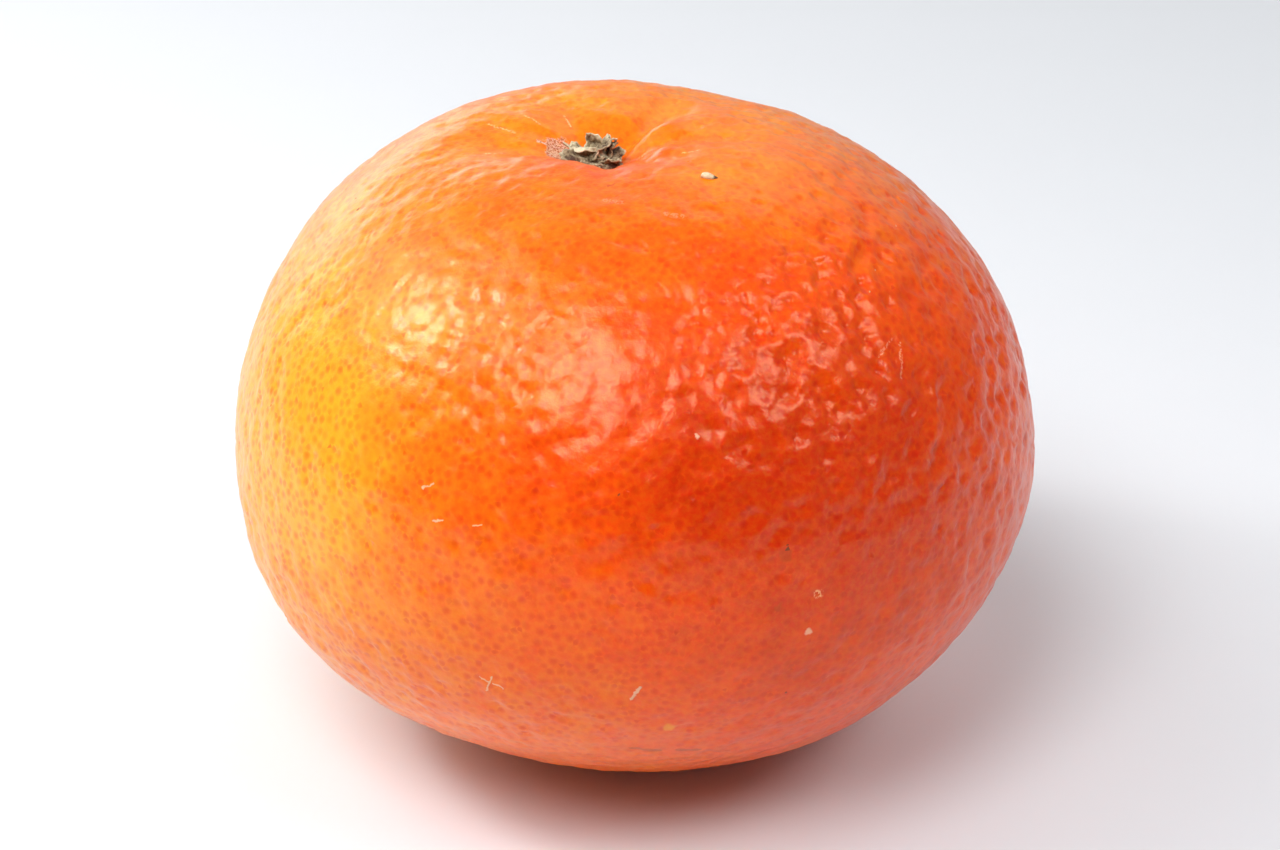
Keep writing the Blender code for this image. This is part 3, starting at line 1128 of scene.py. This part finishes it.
@dataclass
class Calyx:
    """The dried calyx: a dark disc in the pit of the stem end, with crumpled lobes on it. The
    disc and the front right lobes are dark partly as painted shade.
    """

    form: FruitForm
    finish: DryFinish
    offset: tuple[float, float] = (-0.55 * MM, 0.0)
    disc_radius: float = 2.35 * MM
    # The darkest lobes, at azimuths -48, -6 and 18 on the front right, are dark partly as dry
    # tissue and partly as painted shade of that side.
    lobes: tuple[Lobe, ...] = each(
        Lobe,
        (-155.0, -0.2, 3.1, 2.6, 20.0, -40.0, 0.15, 0.22, -30.0, 0.35),
        (-108.0, 0.1, 1.8, 1.8, 34.0, -85.0, 0.15, 0.30, -12.0),
        (178.0, -0.9, 2.9, 1.4, 56.0, -85.0, -0.40, 0.85, 0.0, 0.80, 0.75),
        (34.0, -0.5, 2.7, 2.2, 66.0, -70.0, 0.20, 0.35, -15.0, 0.55, 0.8),
        (-20.0, 0.1, 1.8, 1.2, 40.0, -70.0, 0.20, 0.22, 10.0),
        (84.0, 0.5, 2.1, 2.5, 66.0, 30.0, 0.35, 0.45, 8.0, 0.3, 0.5),
        (-48.0, -0.2, 2.5, 2.6, 22.0, -55.0, 0.10, 0.06, 0.0, 0.15, 0.8),
        (-6.0, 0.0, 2.3, 2.4, 46.0, -75.0, 0.25, 0.10, 6.0, 0.20, 0.9),
        (18.0, 0.7, 1.9, 2.5, 70.0, -25.0, 0.25, 0.16, -8.0, 0.30, 0.8),
        (150.0, 0.3, 2.3, 1.6, 30.0, -30.0, 0.25, 0.40, 12.0),
        (52.0, 1.4, 0.9, 0.9, 60.0, -60.0, 0.10, 0.85, 20.0, 1.1),
        (80.0, 1.2, 0.6, 0.9, 55.0, -80.0, 0.10, 0.85, -20.0, 0.6, 1.2),
    )

    def disc(self) -> tuple[Array, Array, Array]:
        """The base: a crumpled disc on the skin, with a turned-down rim.

        Returns:
            Its places, its faces and how pale each place is.
        """
        rings, spokes = 16, 72
        turns = np.arange(spokes) * math.tau / spokes
        outward, azimuth = spread(np.linspace(0.0, 1.0, rings), turns)
        wavy = 1.0 + 0.10 * np.cos(5.0 * azimuth + 0.6) + 0.05 * np.cos(13.0 * azimuth)
        reach = self.disc_radius * outward * wavy
        x, y = reach * np.cos(azimuth), reach * np.sin(azimuth)
        rows = as_rows(x, y, np.zeros_like(x))
        crumple = LatticeNoise(21).at(rows, 0.8 * MM) * 0.16 * MM
        rows[:, 2] = 0.14 * MM + crumple - 0.42 * MM * outward.ravel() ** 6
        # The disc's dark tone, -0.12, is partly its dry fibre and partly painted shade of the
        # hollow between the lobes.
        return rows, ring_quads(rings, spokes)[0], np.full(len(rows), -0.12)

    def build(self) -> bpy.types.Object:
        """Builds the disc and the lobes as one piece, follows the skin and adds a wall.

        Returns:
            The object, with its mesh data and its material.
        """
        rows, quads, pale = self.disc()
        all_rows, all_quads, all_pale = [rows], [quads], [pale]
        along_steps, across_steps = 40, 28
        grid = np.arange(along_steps * across_steps).reshape(along_steps, across_steps)
        strip = as_rows(grid[:-1, :-1], grid[1:, :-1], grid[1:, 1:], grid[:-1, 1:])
        for seed, lobe in enumerate(self.lobes):
            rows, pale = lobe.places(seed, along_steps, across_steps)
            all_quads.append(strip + sum(len(part) for part in all_rows))
            all_rows.append(rows)
            all_pale.append(pale)
        places = np.concatenate(all_rows) + (*self.offset, 0.0)
        places[:, 2] += peel_floor(self.form, places)
        piece = mesh_piece("dried_calyx", self.form.placed(places), np.concatenate(all_quads))
        store(piece.data, "pale", "FLOAT", "POINT", np.concatenate(all_pale))
        weld_and_face_out(piece)
        wall = piece.modifiers.new("wall", "SOLIDIFY")
        wall.thickness = 0.13 * MM
        piece.data.materials.append(self.finish.material())
        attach(piece, BODY)
        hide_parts("calyx")
        return piece


@dataclass
class Stump:
    """The torn end of the stalk: a short fibrous knob with a sunken top."""

    form: FruitForm
    finish: DryFinish
    radius: float = 0.85 * MM
    height: float = 0.75 * MM
    offset: tuple[float, float] = (-0.1 * MM, 0.15 * MM)

    def build(self) -> bpy.types.Object:
        """Builds the knob from its foot, up its ribbed side and into the hollow of its top.

        The profile goes from radius 1.0 to 0.92 up the side, rounds over and sinks 0.3 of
        the height at the middle. Ribs are a cosine of the azimuth, and lattice relief
        tears the top.

        Returns:
            The object, with its mesh data and its material.
        """
        rings, spokes = 33, 64
        share = np.linspace(0.0, 1.0, rings)
        side = smooth_step(0.0, 0.62, share)
        inward = 1.0 - 0.10 * side - 0.90 * np.clip((share - 0.55) / 0.45, 0.0, 1.0) ** 1.3
        rise = side - 0.30 * smooth_step(0.62, 1.0, share)
        azimuth = np.arange(spokes) * math.tau / spokes
        ribs = 1.0 + 0.07 * np.cos(9.0 * azimuth) + 0.04 * np.cos(23.0 * azimuth + 1.0)
        reach = self.radius * inward[:, None] * ribs[None, :]
        x, y = reach * np.cos(azimuth), reach * np.sin(azimuth)
        z = np.broadcast_to(self.height * rise[:, None], x.shape)
        rows = as_rows(x, y, z)
        torn = LatticeNoise(90).at(rows, 0.45 * MM) * 0.22 * MM
        rows[:, 2] += torn * (rows[:, 2] / self.height)
        quads, ring = ring_quads(rings, spokes)
        faces = capped(quads[:, (0, 3, 2, 1)], ring[0, ::-1])
        rows = rows + (*self.offset, 0.15 * MM)
        rows[:, 2] += peel_floor(self.form, np.zeros((1, 3)) + 1e-6)[0]
        piece = mesh_piece("torn_stalk", self.form.placed(rows), faces)
        pale = 0.15 + 0.35 * np.repeat(share > 0.5, spokes)
        store(piece.data, "pale", "FLOAT", "POINT", pale)
        weld_and_face_out(piece)
        piece.data.materials.append(self.finish.material())
        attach(piece, BODY)
        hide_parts("stem_stump")
        return piece


@dataclass
class Fleck:
    """A scale shell stuck on the peel: a small cream dome with a thin brown tail."""

    form: FruitForm
    finish: DryFinish
    azimuth: float = -47.0
    elevation: float = 65.0
    half_length: float = 0.52 * MM
    half_width: float = 0.33 * MM
    height: float = 0.24 * MM
    tail: float = 0.62 * MM

    def build(self) -> bpy.types.Object:
        """Builds the dome on the skin's own level directions, and closes it underneath.

        The plan is an ellipse whose end towards the tail is drawn out by the cosine of the
        plan's angle to the power 9. The height is the dome sqrt(1 - share^2), thinner along
        the tail, and the foot ring sits a little inside the skin.

        Returns:
            The object, with its mesh data and its material.
        """
        rings, spokes = 13, 40
        turns = np.arange(spokes) * math.tau / spokes
        share, turn = spread(np.linspace(0.0, 1.0, rings), turns)
        drawn = np.clip(np.cos(turn), 0.0, 1.0) ** 9
        x = share * (self.half_length * np.cos(turn) + self.tail * drawn * share**2)
        y = share * self.half_width * np.sin(turn)
        thin = 1.0 - 0.75 * drawn * share
        z = self.height * np.sqrt(np.clip(1.0 - share**2, 0.0, 1.0)) * thin + 0.06 * MM
        z[-1] = -0.10 * MM
        outward = unit(self.azimuth, self.elevation)
        along = normalised(np.cross((0.12, 1.0, 0.10), outward))
        axes = np.stack((along, np.cross(outward, along), outward))
        middle = outward * self.form.radius(outward[None, :])[0]
        rows = middle + as_rows(x, y, z) @ axes
        quads, ring = ring_quads(rings, spokes)
        faces = capped(quads, ring[-1, ::-1])
        piece = mesh_piece("scale_fleck", self.form.placed(rows), faces)
        on_tail = smooth_step(0.75, 1.15, x / self.half_length).ravel()
        store(piece.data, "pale", "FLOAT", "POINT", 1.05 - 1.15 * on_tail)
        weld_and_face_out(piece)
        piece.data.materials.append(self.finish.material())
        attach(piece, BODY)
        return piece


def peel_floor(form: FruitForm, flat: Array) -> Array:
    """Height of the plain form over places near the stem axis.

    Args:
        form: the fruit's shape.
        flat: places in the own frame, whose heights are ignored.

    Returns:
        The height of the skin over each, found by six rounds of substitution.
    """
    height = np.full(len(flat), form.stem_half_height)
    for _ in range(6):
        toward = normalised(np.column_stack((flat[:, 0], flat[:, 1], height)))
        height = form.radius(toward) * toward[:, 2]
    return height


def weld_and_face_out(piece: bpy.types.Object) -> None:
    """Merges the points that share a place and turns every face up and outwards.

    Args:
        piece: the object whose mesh is mended.
    """
    bm = bmesh.new()
    bm.from_mesh(piece.data)
    bmesh.ops.remove_doubles(bm, verts=bm.verts, dist=0.002 * MM)
    bmesh.ops.recalc_face_normals(bm, faces=bm.faces)
    if sum(face.normal.z for face in bm.faces) < 0.0:
        bmesh.ops.reverse_faces(bm, faces=bm.faces)
    bm.to_mesh(piece.data)
    bm.free()


# ---------------------------------------------------------------- the studio


@dataclass(frozen=True)
class Softbox:
    """An area light that points at the fruit, and fades from its middle to its rim."""

    name: str
    azimuth: float
    elevation: float
    distance: float
    width: float
    height: float
    power: float


@dataclass
class Studio:
    """A plain pale floor, soft light and the camera."""

    form: FruitForm
    lens: float = 85.0
    distance: float = 0.25275
    elevation: float = 28.0
    aside: tuple[float, float] = (0.36 * MM, 0.47 * MM)
    softboxes: tuple[Softbox, ...] = (
        Softbox("left_window", 172.0, 44.0, 0.34, 0.42, 0.37, 0.42),
        Softbox("left_core", 176.0, 42.0, 0.34, 0.11, 0.10, 0.30),
        Softbox("front_left_window", -150.0, 60.0, 0.45, 0.34, 0.29, 0.18),
        Softbox("front_window", -112.0, 55.0, 0.38, 0.25, 0.31, 0.86),
        Softbox("right_window", -26.0, 50.0, 0.90, 0.56, 0.50, 2.30),
        Softbox("back_wall", 124.0, 13.0, 0.50, 0.68, 0.34, 0.62),
        Softbox("back_ceiling", 70.0, 48.0, 0.90, 0.90, 0.52, 0.40),
    )
    soft_from: float = 0.35
    middle_shine: float = 2.67
    sky: Colour = (0.96, 0.98, 1.0)
    bright_side: tuple[float, float] = (75.0, 22.0)
    dark_side: tuple[float, float] = (-88.0, 18.0)
    bright_sky: float = 0.45
    dim_sky: float = 0.21
    dark_cut: float = 0.18

    def build(self) -> None:
        """Makes the floor, the lights, the sky and the camera."""
        self.floor()
        for softbox in self.softboxes:
            self.light(softbox)
        self.surroundings()
        self.camera()
        bpy.context.scene.view_settings.view_transform = "Standard"

    def floor(self) -> None:
        """A wide level sheet of paper just under the fruit."""
        half = 3.0
        corners = ((-half, -half), (half, -half), (half, half), (-half, half))
        places = np.array([(x, y, 0.0) for x, y in corners])
        floor = mesh_piece("studio_floor", places, np.array([(0, 1, 2, 3)]))
        floor.data.materials.append(PaperFinish().material())

    def light(self, softbox: Softbox) -> None:
        """One area light, aimed at the fruit's centre.

        Args:
            softbox: where the light stands, how large it is and what it gives.
        """
        data = bpy.data.lights.new(softbox.name, "AREA")
        data.shape = "RECTANGLE"
        data.size = softbox.width
        data.size_y = softbox.height
        data.energy = softbox.power
        nodes = Nodes(softbox.name, data)
        across = nodes.add("NewGeometry").outputs["Parametric"]
        across = nodes.vector("MULTIPLY_ADD", across, (2.0, 2.0, 0.0), (-1.0, -1.0, 0.0))
        off_middle = nodes.vector("LENGTH", across.outputs[0]).outputs["Value"]
        shine = nodes.span(off_middle, self.soft_from, 1.0, self.middle_shine, 0.0)
        glow = nodes.add("Emission", {"Strength": shine})
        nodes.add("OutputLight", {"Surface": glow.outputs[0]})
        lamp = bpy.data.objects.new(softbox.name, data)
        away = Vector(unit(softbox.azimuth, softbox.elevation))
        lamp.location = Vector(self.form.centre()) + away * softbox.distance
        lamp.rotation_euler = away.to_track_quat("Z", "Y").to_euler()
        bpy.context.scene.collection.objects.link(lamp)

    def surroundings(self) -> None:
        """A dim room with a pale wall behind the fruit and a darker part in front of it."""
        world = bpy.data.worlds.new("pale_room")
        nodes = Nodes("pale_room", world)
        toward = nodes.add("TexCoord").outputs["Generated"]
        bright = nodes.vector("DOT_PRODUCT", toward, tuple(unit(*self.bright_side)))
        bright = nodes.span(bright.outputs["Value"], 0.62, 1.0, self.dim_sky, self.bright_sky)
        dark = nodes.vector("DOT_PRODUCT", toward, tuple(unit(*self.dark_side)))
        dark = nodes.span(dark.outputs["Value"], 0.45, 1.0, 0.0, self.dark_cut)
        strength = nodes.math("SUBTRACT", bright, dark)
        sky = nodes.add("Background", {"Color": self.sky, "Strength": strength})
        nodes.add("OutputWorld", {"Surface": sky.outputs[0]})
        bpy.context.scene.world = world

    def camera(self) -> None:
        """A long lens, level with the horizon, that looks down on the fruit's centre."""
        data = bpy.data.cameras.new("camera")
        data.lens = self.lens
        data.clip_start = 0.01
        camera = bpy.data.objects.new("camera", data)
        rise = math.radians(self.elevation)
        back = Vector((0.0, -math.cos(rise), math.sin(rise)))
        upward = Vector((0.0, math.sin(rise), math.cos(rise)))
        aside, above = self.aside
        target = Vector(self.form.centre()) + Vector((aside, 0.0, 0.0)) + upward * above
        camera.location = target + back * self.distance
        camera.rotation_euler = back.to_track_quat("Z", "Y").to_euler()
        bpy.context.scene.collection.objects.link(camera)
        bpy.context.scene.camera = camera


# ---------------------------------------------------------------- main


def report(piece: bpy.types.Object) -> None:
    """Logs a piece's name and its number of points."""
    log.info("%s: %d points", piece.name, len(piece.data.vertices))


def main() -> None:
    """Builds the mandarin and its studio, in order."""
    logging.basicConfig(level=logging.INFO)
    form = FruitForm()
    Studio(form).build()
    report(Peel(form, PeelFinish(), Marks()).build())
    report(Calyx(form, DryFinish("dried_calyx")).build())
    report(Stump(form, DryFinish("torn_stalk")).build())
    report(Fleck(form, DryFinish("scale_fleck", cream=(0.86, 0.66, 0.42), scale=900.0)).build())


if __name__ == "__main__":
    main()
